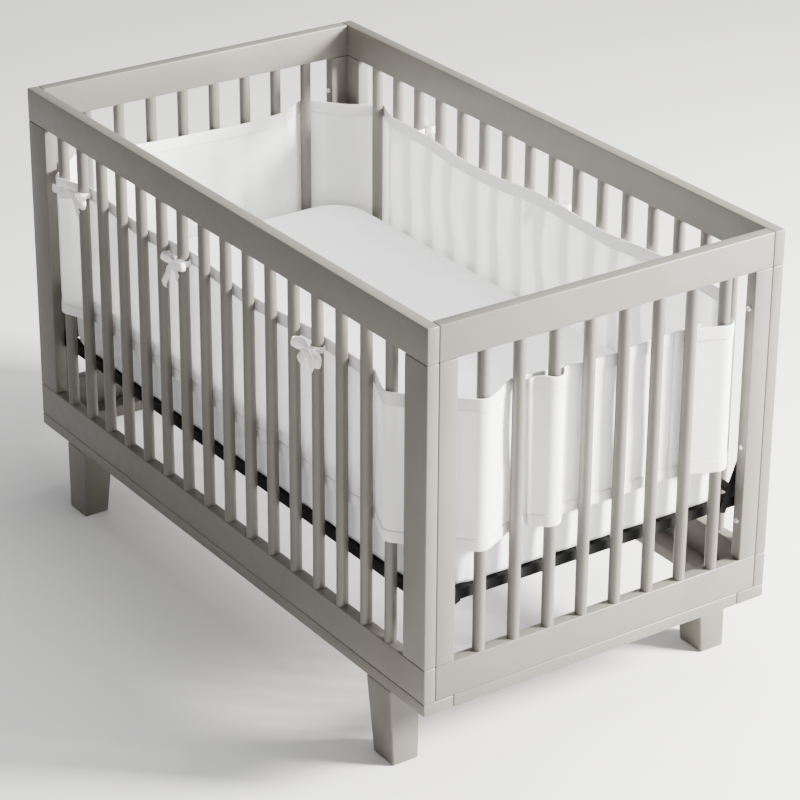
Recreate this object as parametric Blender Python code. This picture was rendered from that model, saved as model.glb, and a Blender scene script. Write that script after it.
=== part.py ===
"""A two-piece mesh crib bumper, woven round the slats of its crib and tied on with ribbon bows.

The crib stands on the floor at z = 0. X runs along its length, with the bumper's overlap at the +X
end, and -Y is the front long side. The crib, the mattress and its support are plain; the bumper's
panels, folded bindings and bows hang as cloth does, taut round the slats and slack between them.
"""

import math

import bmesh
import bpy
from mathutils import Matrix, Vector

# Driving dimensions, in metres.
LENGTH, WIDTH = 1.365, 0.756
GAP = 0.0003

PANEL_THICK = 0.024
RAIL_TOP, RAIL_UNDER = 0.876, 0.810
LOW_RAIL_TOP, LOW_RAIL_UNDER = 0.241, 0.1743
LONG_STILE, END_STILE = 0.0655, 0.038
SLAT_RADIUS, SLAT_SIDES, SLAT_TENON = 0.011, 12, 0.010
LONG_SLATS, LONG_PITCH = 16, 0.0752
END_SLATS, END_PITCH = 8, 0.0735

BASE_UNDER, BASE_TOP, BASE_BOARD = 0.150, 0.174, 0.062
LEG_TOP = {"along": (0.506, 0.580), "across": (0.314, 0.378)}
LEG_FOOT = {"along": (0.524, 0.586), "across": (0.321, 0.374)}

MATTRESS_LENGTH, MATTRESS_WIDTH, MATTRESS_CORNER = 1.297, 0.690, 0.090
MATTRESS_ROWS = ((0.358, 0.012), (0.370, 0.0), (0.486, 0.0), (0.499, 0.007), (0.505, 0.022))

SUPPORT_LENGTH, SUPPORT_WIDTH = 1.304, 0.698
ANGLE_LEG, ANGLE_THICK, CROSS_WIDTH = 0.020, 0.003, 0.030
CROSS_PLACES = (-0.42, -0.14, 0.14, 0.42)
BRACKET_FOOT, BRACKET_HEAD = (0.292, 0.3340), (0.330, 0.4280)
BRACKET_WIDTH, BRACKET_THICK = 0.016, 0.003

BUMPER_BOTTOM, BUMPER_TOP = 0.440, 0.722
MESH_THICK, FOLD_WALL, FOLD_GAP = 0.0010, 0.0008, 0.0003
TOP_BINDING, BOTTOM_BINDING = 0.025, 0.022
CLOTH_CLEARANCE = 0.0020
WRAP_RADIUS = 0.022
LAYER_STEP = 0.0037
RUN_STEP, ARC_STEP = 0.058, math.radians(24)
LEAN, BILLOW = 0.0018, 0.0070
FLAT_EASE, END_DROP = 0.070, 0.009
MATTRESS_LEVEL, BELLY_LEVEL = 0.512, 0.620

FOLD_HALF = MESH_THICK / 2 + FOLD_GAP + FOLD_WALL
FOLD_INNER = MESH_THICK / 2 + FOLD_GAP
SLAT_PASS = SLAT_RADIUS + CLOTH_CLEARANCE + FOLD_HALF
SLAT_LINE_X = LENGTH / 2 - PANEL_THICK / 2
SLAT_LINE_Y = WIDTH / 2 - PANEL_THICK / 2

RIBBON, RIBBON_THICK = 0.016, 0.0012
RING_INNER, RING_OUTER, RING_HEIGHT = 0.0117, 0.0126, 0.011


# ---------------------------------------------------------------- helpers
def material(name, colour, roughness, metallic=0.0):
    """A Principled material of one colour."""
    made = bpy.data.materials.new(name)
    made.use_nodes = True
    shader = made.node_tree.nodes["Principled BSDF"]
    shader.inputs["Base Color"].default_value = (*colour, 1.0)
    shader.inputs["Roughness"].default_value = roughness
    shader.inputs["Metallic"].default_value = metallic
    return made


def add_object(name, shape, finish):
    """Puts a bmesh into the scene as one named object, with its faces turned outwards."""
    bmesh.ops.recalc_face_normals(shape, faces=shape.faces)
    mesh = bpy.data.meshes.new(name)
    shape.to_mesh(mesh)
    shape.free()
    mesh.materials.append(finish)
    made = bpy.data.objects.new(name, mesh)
    bpy.context.scene.collection.objects.link(made)
    return made


def add_loft(shape, sections):
    """Joins rings of equally many points into one closed skin with flat ends."""
    rings = [[shape.verts.new(point) for point in ring] for ring in sections]
    for one, other in zip(rings, rings[1:]):
        for i in range(len(one)):
            j = (i + 1) % len(one)
            shape.faces.new((one[i], one[j], other[j], other[i]))
    shape.faces.new(rings[0][::-1])
    shape.faces.new(rings[-1])


def loft(name, sections, finish):
    shape = bmesh.new()
    add_loft(shape, sections)
    return add_object(name, shape, finish)


def box_rings(low, high):
    """The two end rings of a box between two corners."""
    corners = ((low[0], low[1]), (high[0], low[1]), (high[0], high[1]), (low[0], high[1]))
    return [[(x, y, z) for x, y in corners] for z in (low[2], high[2])]


def box(name, low, high, finish):
    return loft(name, box_rings(low, high), finish)


def extrusion(name, outline, start, end, finish, along="x"):
    """A flat outline of (across, z) points, run along X or Y."""
    def place(across, z, run):
        return (run, across, z) if along == "x" else (across, run, z)

    return loft(name, [[place(a, z, run) for a, z in outline] for run in (start, end)], finish)


def join(target, other):
    """Unites two objects into one body, and drops the second."""
    union = target.modifiers.new("join", "BOOLEAN")
    union.operation = "UNION"
    union.solver = "EXACT"
    union.object = other
    other.hide_render = True
    other.display_type = "WIRE"


def slat_places(count, pitch):
    """Places of the slats along a side, evenly about its middle."""
    return [(i - (count - 1) / 2) * pitch for i in range(count)]


# ---------------------------------------------------------------- the crib
def slatted_panel(name, half_length, stile, places, turn, finish):
    """A picture frame of rails and stiles with its row of round slats, as one glued panel."""
    frame = bmesh.new()
    half = PANEL_THICK / 2
    outer = ((-half_length, LOW_RAIL_UNDER), (half_length, LOW_RAIL_UNDER),
             (half_length, RAIL_TOP), (-half_length, RAIL_TOP))
    inside = half_length - stile
    inner = ((-inside, LOW_RAIL_TOP), (inside, LOW_RAIL_TOP), (inside, RAIL_UNDER), (-inside, RAIL_UNDER))
    loops = [[frame.verts.new((x, y, z)) for x, z in edge] for y in (-half, half) for edge in (outer, inner)]
    for a, b in ((0, 1), (1, 3), (3, 2), (2, 0)):
        for i in range(4):
            j = (i + 1) % 4
            frame.faces.new((loops[a][i], loops[a][j], loops[b][j], loops[b][i]))
    panel = add_object(name, frame, finish)

    rods = bmesh.new()
    low, high = LOW_RAIL_TOP - SLAT_TENON, RAIL_UNDER + SLAT_TENON
    for place in places:
        at = Matrix.Translation((place, 0, (low + high) / 2))
        bmesh.ops.create_cone(rods, cap_ends=True, segments=SLAT_SIDES, radius1=SLAT_RADIUS,
                              radius2=SLAT_RADIUS, depth=high - low, matrix=at)
    slats = add_object(name + "_slats", rods, finish)
    join(panel, slats)
    for piece in (panel, slats):
        piece.matrix_world = turn
    return panel


def build_crib(paint):
    long_places = slat_places(LONG_SLATS, LONG_PITCH)
    end_places = slat_places(END_SLATS, END_PITCH)
    for name, side in (("side_front", -1), ("side_back", 1)):
        turn = Matrix.Translation((0, side * SLAT_LINE_Y, 0))
        slatted_panel(name, LENGTH / 2, LONG_STILE, long_places, turn, paint)
    end_half = WIDTH / 2 - PANEL_THICK - GAP
    for name, side in (("end_left", -1), ("end_right", 1)):
        turn = Matrix.Translation((side * SLAT_LINE_X, 0, 0)) @ Matrix.Rotation(math.pi / 2, 4, "Z")
        slatted_panel(name, end_half, END_STILE, end_places, turn, paint)


def build_base(paint):
    half_x, half_y = LENGTH / 2, WIDTH / 2
    reach = half_y - BASE_BOARD
    for name, side in (("base_front", -1), ("base_back", 1)):
        low, high = sorted((side * half_y, side * reach))
        box(name, (-half_x, low, BASE_UNDER), (half_x, high, BASE_TOP), paint)
    for name, side in (("base_left", -1), ("base_right", 1)):
        low, high = sorted((side * half_x, side * (half_x - BASE_BOARD)))
        box(name, (low, GAP - reach, BASE_UNDER), (high, reach - GAP, BASE_TOP), paint)


def build_legs(paint):
    """Four tapered legs, set in from the ends at the top and splayed a little outwards to the foot."""
    for end, side_x in (("left", -1), ("right", 1)):
        for side, side_y in (("front", -1), ("back", 1)):
            sections = []
            for z, size in ((0.0, LEG_FOOT), (BASE_UNDER - GAP, LEG_TOP)):
                (x0, x1), (y0, y1) = size["along"], size["across"]
                corners = ((x0, y0), (x1, y0), (x1, y1), (x0, y1))
                sections.append([(side_x * x, side_y * y, z) for x, y in corners])
            loft(f"leg_{side}_{end}", sections, paint)


# ---------------------------------------------------------------- mattress and its support
def build_support(steel):
    """Angle bars under the mattress, flat cross straps, and a hanger at each corner."""
    top = MATTRESS_ROWS[0][0] - GAP
    half_x, half_y = SUPPORT_LENGTH / 2, SUPPORT_WIDTH / 2

    def angle(edge, side):
        inner, wall, under = edge - ANGLE_LEG, edge - ANGLE_THICK, top - ANGLE_THICK
        points = ((edge, top - ANGLE_LEG), (edge, top), (inner, top), (inner, under),
                  (wall, under), (wall, top - ANGLE_LEG))
        return [(side * a, z) for a, z in points]

    reach = half_y - ANGLE_LEG - GAP
    for name, side in (("support_front", -1), ("support_back", 1)):
        extrusion(name, angle(half_y, side), -half_x, half_x, steel)
    for name, side in (("support_left", -1), ("support_right", 1)):
        extrusion(name, angle(half_x, side), -reach, reach, steel, along="y")
    for number, place in enumerate(CROSS_PLACES, 1):
        low = (place - CROSS_WIDTH / 2, -reach, top - ANGLE_THICK)
        high = (place + CROSS_WIDTH / 2, reach, top)
        box(f"support_strap_{number}", low, high, steel)
    build_hangers(steel)


def build_hangers(steel):
    """Slanting straps in the planes of the ends, from the support's corners up to the stiles."""
    foot, head = Vector(BRACKET_FOOT), Vector(BRACKET_HEAD)
    across = (head - foot).normalized().orthogonal() * BRACKET_WIDTH / 2
    outline = [foot - across, foot + across, head + across, head - across]
    inner = SUPPORT_LENGTH / 2 + GAP
    for end, side_x in (("left", -1), ("right", 1)):
        for side, side_y in (("front", -1), ("back", 1)):
            rings = [[(side_x * x, side_y * point.x, point.y) for point in outline]
                     for x in (inner, inner + BRACKET_THICK)]
            loft(f"hanger_{side}_{end}", rings, steel)


def rounded_rectangle(half_x, half_y, radius, z, steps=6):
    points = []
    for quarter, (side_x, side_y) in enumerate(((1, 1), (-1, 1), (-1, -1), (1, -1))):
        centre_x, centre_y = side_x * (half_x - radius), side_y * (half_y - radius)
        for step in range(steps + 1):
            angle = math.pi / 2 * (quarter + step / steps)
            points.append((centre_x + radius * math.cos(angle), centre_y + radius * math.sin(angle), z))
    return points


def build_mattress(cotton):
    """The mattress in its fitted sheet, with round corners and soft edges."""
    sections = [
        rounded_rectangle(MATTRESS_LENGTH / 2 - inset, MATTRESS_WIDTH / 2 - inset, MATTRESS_CORNER - inset, z)
        for z, inset in MATTRESS_ROWS
    ]
    loft("mattress", sections, cotton)


# ---------------------------------------------------------------- the bumper's way round the slats
class Wrap:
    """A round thing that the cloth turns about. out is 1 where the cloth passes outside it, -1 inside.

    The cloth runs clockwise seen from above, so outside is on its left.
    """

    def __init__(self, centre, radius, out):
        self.centre, self.radius, self.out = Vector(centre), radius, out

    def point(self, heading):
        left = Vector((-math.sin(heading), math.cos(heading)))
        return self.centre + left * self.radius * self.out


def slat_wrap(side, number, out, layer=0):
    """The turn about slat number of a side, counted from -X or from -Y. layer moves it outwards."""
    long_side = side in ("front", "back")
    outwards = Vector({"front": (0, -1), "back": (0, 1), "left": (-1, 0), "right": (1, 0)}[side])
    count, pitch = (LONG_SLATS, LONG_PITCH) if long_side else (END_SLATS, END_PITCH)
    place = slat_places(count, pitch)[number - 1]
    line = SLAT_LINE_Y if long_side else SLAT_LINE_X
    centre = outwards * line + (Vector((place, 0)) if long_side else Vector((0, place)))
    if out > 0:
        centre -= outwards * (WRAP_RADIUS - SLAT_PASS)
        return Wrap(centre, WRAP_RADIUS + layer * LAYER_STEP, 1)
    return Wrap(centre, SLAT_PASS - layer * LAYER_STEP, -1)


def mattress_corner_wrap():
    centre = (MATTRESS_LENGTH / 2 - MATTRESS_CORNER, MATTRESS_WIDTH / 2 - MATTRESS_CORNER)
    return Wrap(centre, MATTRESS_CORNER + CLOTH_CLEARANCE + FOLD_HALF + LEAN, 1)


def heading_between(one, other):
    """Heading of the straight run that leaves one turn and meets the next."""
    across = other.centre - one.centre
    lift = (one.out * one.radius - other.out * other.radius) / across.length
    return math.atan2(across.y, across.x) - math.asin(lift)


def stations_of(wraps):
    """Rows of (place, heading, slack) along the cloth. slack is 0 where it bears on a slat's outside."""
    headings = [heading_between(one, other) for one, other in zip(wraps, wraps[1:])]
    rows = []
    for i, wrap in enumerate(wraps):
        came, leaves = headings[max(i - 1, 0)], headings[min(i, len(headings) - 1)]
        turn = (leaves - came + math.pi) % (2 * math.pi) - math.pi
        bends = turn * wrap.out < -math.radians(2)
        steps = math.ceil(abs(turn) / ARC_STEP) if bends else 0
        slack = 0.0 if wrap.out > 0 else 1.0
        for step in range(steps + 1):
            heading = came + turn * (step / steps if steps else 1)
            rows.append((wrap.point(heading), heading, slack))
        if i + 1 == len(wraps):
            break
        start, end = wrap.point(leaves), wraps[i + 1].point(leaves)
        next_slack = 0.0 if wraps[i + 1].out > 0 else 1.0
        steps = math.ceil((end - start).length / RUN_STEP)
        for step in range(1, steps):
            part = step / steps
            eased = slack + (next_slack - slack) * (part if next_slack < slack else part ** 2)
            rows.append((start.lerp(end, part), leaves, eased))
    return rows


def trimmed(rows, first_y, last_y):
    """Cuts both ends of a run down the +X end, to begin at first_y and to finish at last_y."""
    def cut(kept, limit):
        inside, outside = kept[0], kept[1]
        part = (limit - outside[0].y) / (inside[0].y - outside[0].y)
        return (outside[0].lerp(inside[0], part), inside[1], inside[2])

    start = next(i for i in range(len(rows)) if rows[i][0].y <= first_y)
    end = next(i for i in reversed(range(len(rows))) if rows[i][0].y >= last_y)
    head, tail = cut((rows[start], rows[start - 1]), first_y), cut((rows[end], rows[end + 1]), last_y)
    return [head, *rows[start:end + 1], tail]


def gap_turn(y, layer=0):
    """An inside turn in a gap of the +X end, where the cloth hugs the slat beside it."""
    return Wrap((SLAT_LINE_X, y), SLAT_PASS - layer * LAYER_STEP, -1)


def long_run():
    """From behind the fourth slat of the +X end, right round, to the inside of the seventh slat."""
    wraps = [slat_wrap("right", 5, -1, -1), slat_wrap("right", 4, -1, -1), slat_wrap("right", 3, -1, -1),
             slat_wrap("right", 2, -1), slat_wrap("right", 1, 1)]
    wraps += [slat_wrap("front", 16, 1), slat_wrap("front", 15, -1), slat_wrap("front", 2, -1),
              slat_wrap("front", 1, 1)]
    wraps += [slat_wrap("left", 1, 1), slat_wrap("left", 2, -1), slat_wrap("left", 7, -1),
              slat_wrap("left", 8, 1)]
    wraps += [slat_wrap("back", 1, 1), slat_wrap("back", 2, -1), slat_wrap("back", 16, -1)]
    wraps += [mattress_corner_wrap(), slat_wrap("right", 8, 1), slat_wrap("right", 7, -1),
              slat_wrap("right", 6, -1)]
    return trimmed(stations_of(wraps), -0.030, 0.160)


def short_run():
    """Across the +X end, and round the third slat to where its end closes on the long piece."""
    wraps = [slat_wrap("right", 8, -1, -1), slat_wrap("right", 7, -1, -1), slat_wrap("right", 6, -1, -1),
             slat_wrap("right", 5, -1), slat_wrap("right", 4, -1), gap_turn(-0.070),
             slat_wrap("right", 3, 1), gap_turn(-0.147, 1), slat_wrap("right", 2, -1, 1)]
    return trimmed(stations_of(wraps), 0.222, -0.153)


# ---------------------------------------------------------------- the bumper's cloth
# How far the top edge stands above (+) or sags below (-) its usual level, at places round the crib.
TOP_EDGE = (
    # x, y, rise
    (0.68, -0.11, 0.002), (0.66, -0.184, 0.008), (0.68, -0.257, 0.001), (0.564, -0.38, 0.0),
    (0.338, -0.35, 0.004), (0.11, -0.35, -0.006), (-0.113, -0.35, 0.003), (-0.30, -0.35, -0.007),
    (-0.489, -0.35, 0.004), (-0.564, -0.38, -0.001), (-0.68, -0.257, 0.002), (-0.655, -0.04, -0.006),
    (-0.655, 0.11, -0.009), (-0.68, 0.257, 0.0), (-0.62, 0.33, -0.004), (-0.564, 0.38, 0.003),
    (-0.414, 0.35, 0.005), (-0.18, 0.35, -0.009), (0.038, 0.35, 0.004), (0.20, 0.35, -0.005),
    (0.414, 0.35, 0.007), (0.564, 0.35, 0.0), (0.68, 0.257, 0.003), (0.656, 0.0, -0.003),
)


def lengths_along(rows):
    total, lengths = 0.0, [0.0]
    for one, other in zip(rows, rows[1:]):
        total += (other[0] - one[0]).length
        lengths.append(total)
    return lengths


def rises(rows):
    """The top edge's rise at each station, read between the marks nearest to the cloth."""
    lengths = lengths_along(rows)
    marks = []
    for x, y, rise in TOP_EDGE:
        gap, length = min(((row[0] - Vector((x, y))).length, s) for row, s in zip(rows, lengths))
        if gap < 0.05:
            marks.append((length, rise))
    marks.sort()
    found = []
    for length in lengths:
        before = [mark for mark in marks if mark[0] <= length] or [marks[0]]
        after = [mark for mark in marks if mark[0] > length] or [marks[-1]]
        (a, low), (b, high) = before[-1], after[0]
        part = min(max((length - a) / (b - a), 0.0), 1.0) if b > a else 0.0
        found.append(low + (high - low) * part * part * (3 - 2 * part))
    return found


class Cloth:
    """One piece of the bumper: where each of its stations hangs, from its bottom edge to its top."""

    def __init__(self, rows, phase, flat_start, flat_end, end_drop):
        self.rows, self.rise = rows, rises(rows)
        self.lengths, self.phase = lengths_along(rows), phase
        self.flat_start, self.flat_end, self.end_drop = flat_start, flat_end, end_drop

    def slack(self, i):
        """Slack at a station: none at the two ends, which lie flat on the other piece."""
        free = min(self.lengths[i] - self.flat_start, self.lengths[-1] - self.lengths[i] - self.flat_end)
        return self.rows[i][2] * min(max(free / FLAT_EASE, 0.0), 1.0)

    def edges(self, i):
        wave = 0.0015 * math.sin(self.lengths[i] * 17 + self.phase)
        near_end = min(max(1 - (self.lengths[-1] - self.lengths[i]) / 0.035, 0.0), 1.0)
        return BUMPER_BOTTOM + wave, BUMPER_TOP + self.rise[i] - self.end_drop * near_end

    def inward(self, i, z):
        """How far the cloth stands inside its taut line at height z."""
        length, slack = self.lengths[i], self.slack(i)
        uneven = 0.55 + 0.30 * math.sin(length * 19 + self.phase) + 0.15 * math.sin(length * 37 + 2 * self.phase)
        bottom, top = self.edges(i)
        marks = ((bottom, LEAN), (bottom + BOTTOM_BINDING, LEAN * 0.8), (MATTRESS_LEVEL, 0.0),
                 (BELLY_LEVEL, BILLOW), (top - TOP_BINDING, BILLOW * 0.5), (top, BILLOW * 0.35))
        for (low, a), (high, b) in zip(marks, marks[1:]):
            if z <= high + 1e-9:
                return slack * uneven * (a + (b - a) * (z - low) / (high - low))
        return 0.0

    def point(self, i, out, z):
        place, heading, _ = self.rows[i]
        left = Vector((-math.sin(heading), math.cos(heading)))
        at = place + left * (out - self.inward(i, z))
        return at.x, at.y, z

    def swept(self, name, outline, finish):
        """Runs an outline of (outwards, height) points, given for each station, along the cloth."""
        sections = [[self.point(i, out, z) for out, z in outline(i)] for i in range(len(self.rows))]
        return loft(name, sections, finish)

    def mesh_outline(self, i):
        bottom, top = self.edges(i)
        inset = FOLD_WALL + FOLD_GAP
        levels = (bottom + inset, bottom + BOTTOM_BINDING, MATTRESS_LEVEL, BELLY_LEVEL,
                  top - TOP_BINDING, top - inset)
        half = MESH_THICK / 2
        return [(-half, z) for z in levels] + [(half, z) for z in reversed(levels)]

    def fold_outline(self, edge, opening, crease):
        """A strip folded over an edge of the mesh: two walls and the crease between them."""
        return [(-FOLD_HALF, opening), (-FOLD_HALF, edge), (FOLD_HALF, edge), (FOLD_HALF, opening),
                (FOLD_INNER, opening), (FOLD_INNER, crease), (-FOLD_INNER, crease), (-FOLD_INNER, opening)]

    def top_outline(self, i):
        top = self.edges(i)[1]
        return self.fold_outline(top, top - TOP_BINDING, top - FOLD_WALL)

    def bottom_outline(self, i):
        bottom = self.edges(i)[0]
        return self.fold_outline(bottom, bottom + BOTTOM_BINDING, bottom + FOLD_WALL)


def build_bumper(mesh_cloth, binding):
    pieces = {"long": Cloth(long_run(), 0.7, 0.070, 0.070, 0.0),
              "short": Cloth(short_run(), 2.1, 0.070, 0.160, END_DROP)}
    for length, cloth in pieces.items():
        cloth.swept(f"bumper_{length}_mesh", cloth.mesh_outline, mesh_cloth)
        cloth.swept(f"bumper_{length}_top_binding", cloth.top_outline, binding)
        cloth.swept(f"bumper_{length}_bottom_binding", cloth.bottom_outline, binding)


# ---------------------------------------------------------------- the ribbon ties
# Each bow's slat, its height, and for each loop and tail its length and its tilt from level, degrees.
BOWS = (
    # side, slat, z, left loop, right loop, left tail, right tail
    ("front", 2, 0.715, (0.040, -6), (0.032, 2), (0.060, 8), (0.026, -40)),
    ("front", 7, 0.707, (0.030, 34), (0.030, 24), (0.044, -74), (0.026, -30)),
    ("front", 13, 0.708, (0.034, 16), (0.032, 2), (0.024, -56), (0.034, -34)),
    ("back", 3, 0.718, (0.027, 46), (0.026, 22), (0.032, -20), (0.034, -54)),
    ("back", 9, 0.704, (0.026, 20), (0.024, 6), (0.036, -34), (0.034, -52)),
    ("back", 14, 0.706, (0.024, 34), (0.026, 8), (0.034, -48), (0.030, -36)),
)
LOOP_BELLY, KNOT = 0.0085, (0.013, 0.009, 0.015)
KNOT_SHIFT = 0.003                                # the front knots sit to one side of their slats


def ribbon_section(centre, width_way, face_way, width, thick):
    """Four corners of a ribbon across its run."""
    half_width, half_thick = width_way * width / 2, face_way * thick / 2
    return [centre - half_width - half_thick, centre + half_width - half_thick,
            centre + half_width + half_thick, centre - half_width + half_thick]


def add_loop(shape, length, tilt, side, base):
    """A closed loop of ribbon from the knot, standing open towards the viewer of the bow."""
    along = Vector((side * math.cos(tilt), 0, math.sin(tilt)))
    up = Vector((-side * math.sin(tilt), 0, math.cos(tilt)))
    out = Vector((0, 1, 0))
    steps = 10
    inner, outer = [], []
    for step in range(steps):
        angle = 2 * math.pi * step / steps
        reach = (1 - math.cos(angle)) / 2
        belly = LOOP_BELLY * math.sin(angle) * (0.45 + 0.55 * reach)
        normal = Vector((-math.cos(angle), math.sin(angle)))
        for ring, swell in ((inner, -RIBBON_THICK / 2), (outer, RIBBON_THICK / 2)):
            place = along * (length * reach + normal.x * swell) + out * (belly + normal.y * swell)
            ring.append(base + place)
    rings = []
    for ring in (outer, inner):
        widths = [0.55 + 0.45 * (1 - math.cos(2 * math.pi * i / steps)) / 2 for i in range(steps)]
        for way in (-1, 1):
            rings.append([shape.verts.new(p + up * way * RIBBON / 2 * w) for p, w in zip(ring, widths)])
    for a, b in ((0, 1), (1, 3), (3, 2), (2, 0)):
        for i in range(steps):
            j = (i + 1) % steps
            shape.faces.new((rings[a][i], rings[a][j], rings[b][j], rings[b][i]))


def add_tail(shape, length, tilt, side, base):
    """A free ribbon end, curling a little away from the slats."""
    along = Vector((side * math.cos(tilt), 0, math.sin(tilt)))
    up = Vector((-side * math.sin(tilt), 0, math.cos(tilt)))
    sections = []
    for part in (0.0, 0.25, 0.5, 0.75, 1.0):
        lift = 0.006 * math.sin(part * 2.4) - 0.003 * part
        centre = base + along * length * part + Vector((0, lift, 0))
        width = RIBBON * (0.6 + 0.4 * min(1.0, part * 2.5))
        sections.append(ribbon_section(centre, up, Vector((0, 1, 0)), width, RIBBON_THICK))
    add_loft(shape, sections)


def add_tie_ring(shape, centre):
    """The ribbon's turn round the slat, where it holds the bumper's top edge."""
    steps = 12
    rings = []
    for radius in (RING_OUTER, RING_INNER):
        for way in (-1, 1):
            rings.append([shape.verts.new(centre + Vector((
                radius * math.cos(2 * math.pi * i / steps),
                radius * math.sin(2 * math.pi * i / steps), way * RING_HEIGHT / 2))) for i in range(steps)])
    for a, b in ((0, 1), (1, 3), (3, 2), (2, 0)):
        for i in range(steps):
            j = (i + 1) % steps
            shape.faces.new((rings[a][i], rings[a][j], rings[b][j], rings[b][i]))


def build_bow(name, side, slat, height, parts, finish):
    """One tie: its turn round the slat, the knot, two loops and two free ends, as one body."""
    outwards = -1 if side == "front" else 1
    place = slat_places(LONG_SLATS, LONG_PITCH)[slat - 1]
    knot_at = Vector((0, RING_INNER + KNOT[1] / 2, 0))
    pieces = []
    left_loop, right_loop, left_tail, right_tail = parts
    if outwards < 0:
        knot_at.x = KNOT_SHIFT
        left_loop, right_loop, left_tail, right_tail = right_loop, left_loop, right_tail, left_tail
    makers = [(lambda shape: add_tie_ring(shape, Vector((0, 0, 0)))),
              (lambda shape: add_loop(shape, left_loop[0], math.radians(left_loop[1]), -1, knot_at)),
              (lambda shape: add_loop(shape, right_loop[0], math.radians(right_loop[1]), 1, knot_at)),
              (lambda shape: add_tail(shape, left_tail[0], math.radians(left_tail[1]), -1, knot_at)),
              (lambda shape: add_tail(shape, right_tail[0], math.radians(right_tail[1]), 1, knot_at))]
    knot = bmesh.new()
    bmesh.ops.create_icosphere(knot, subdivisions=1, radius=1.0)
    bmesh.ops.scale(knot, vec=Vector(KNOT) / 2 * 1.1, verts=knot.verts)
    bmesh.ops.translate(knot, vec=knot_at, verts=knot.verts)
    pieces.append(add_object(name, knot, finish))
    for number, make in enumerate(makers, 1):
        shape = bmesh.new()
        make(shape)
        pieces.append(add_object(f"{name}_ribbon_{number}", shape, finish))
    where = Matrix.Translation((place, outwards * SLAT_LINE_Y, height))
    if outwards < 0:
        where = where @ Matrix.Rotation(math.pi, 4, "Z")
    for piece in pieces:
        piece.matrix_world = where
    for piece in pieces[1:]:
        join(pieces[0], piece)


def build_bows(satin):
    for number, (side, slat, height, *parts) in enumerate(BOWS, 1):
        build_bow(f"bow_{number}", side, slat, height, parts, satin)


def main():
    for leftover in list(bpy.data.objects):
        bpy.data.objects.remove(leftover)
    paint = material("warm_grey_paint", (0.40, 0.38, 0.35), 0.45)
    steel = material("black_steel", (0.015, 0.015, 0.016), 0.5, 0.6)
    cotton = material("white_fitted_sheet", (0.86, 0.87, 0.88), 0.9)
    mesh_cloth = material("white_mesh_cloth", (0.90, 0.90, 0.90), 0.85)
    binding = material("white_binding", (0.85, 0.85, 0.85), 0.8)
    satin = material("white_ribbon", (0.90, 0.90, 0.89), 0.5)
    build_crib(paint)
    build_base(paint)
    build_legs(paint)
    build_support(steel)
    build_mattress(cotton)
    build_bumper(mesh_cloth, binding)
    build_bows(satin)


main()
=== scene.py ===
"""The looks of a mesh crib bumper on its slatted crib.

The crib stands on the floor at z = 0. X runs along its length, with the bumper's overlap at the +X
end, and -Y is the front long side. The bumper is two lengths of sheer mesh with folded bindings, woven
round the slats and tied at the top with ribbon bows. Sizes are in metres.
"""

import logging
import math
from dataclasses import dataclass
from enum import Enum
from typing import Callable, Optional, Sequence, Union

import bmesh
import bpy
from mathutils import Matrix, Vector


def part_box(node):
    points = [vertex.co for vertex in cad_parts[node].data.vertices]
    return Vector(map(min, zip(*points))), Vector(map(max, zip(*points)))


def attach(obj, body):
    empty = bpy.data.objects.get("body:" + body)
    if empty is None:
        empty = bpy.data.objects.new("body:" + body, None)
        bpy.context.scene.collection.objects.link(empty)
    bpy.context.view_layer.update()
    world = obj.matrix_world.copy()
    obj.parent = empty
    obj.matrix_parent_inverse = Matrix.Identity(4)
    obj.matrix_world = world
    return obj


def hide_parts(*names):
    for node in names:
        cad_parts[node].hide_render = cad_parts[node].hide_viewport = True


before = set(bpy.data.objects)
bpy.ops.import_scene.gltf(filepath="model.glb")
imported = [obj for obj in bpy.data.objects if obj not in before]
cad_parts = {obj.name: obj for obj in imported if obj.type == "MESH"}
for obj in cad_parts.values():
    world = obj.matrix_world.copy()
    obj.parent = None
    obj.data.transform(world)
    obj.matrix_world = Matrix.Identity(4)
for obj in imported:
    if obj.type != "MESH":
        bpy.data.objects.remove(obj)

log = logging.getLogger("crib_bumper")

Colour = tuple[float, float, float]
Point = tuple[float, float, float]
Light = tuple[Point, float, float, Colour]             # place, size, power in watts, colour
Spine = list[tuple[Vector, Vector, Vector, float]]     # point, way across, way off the face, width
BODY = "root"
SMOOTH_ANGLE = math.radians(40)    # edges sharper than this stay sharp in the shading
MATTRESS_CORNER = 0.090            # radius of the mattress's corners in plan


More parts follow.
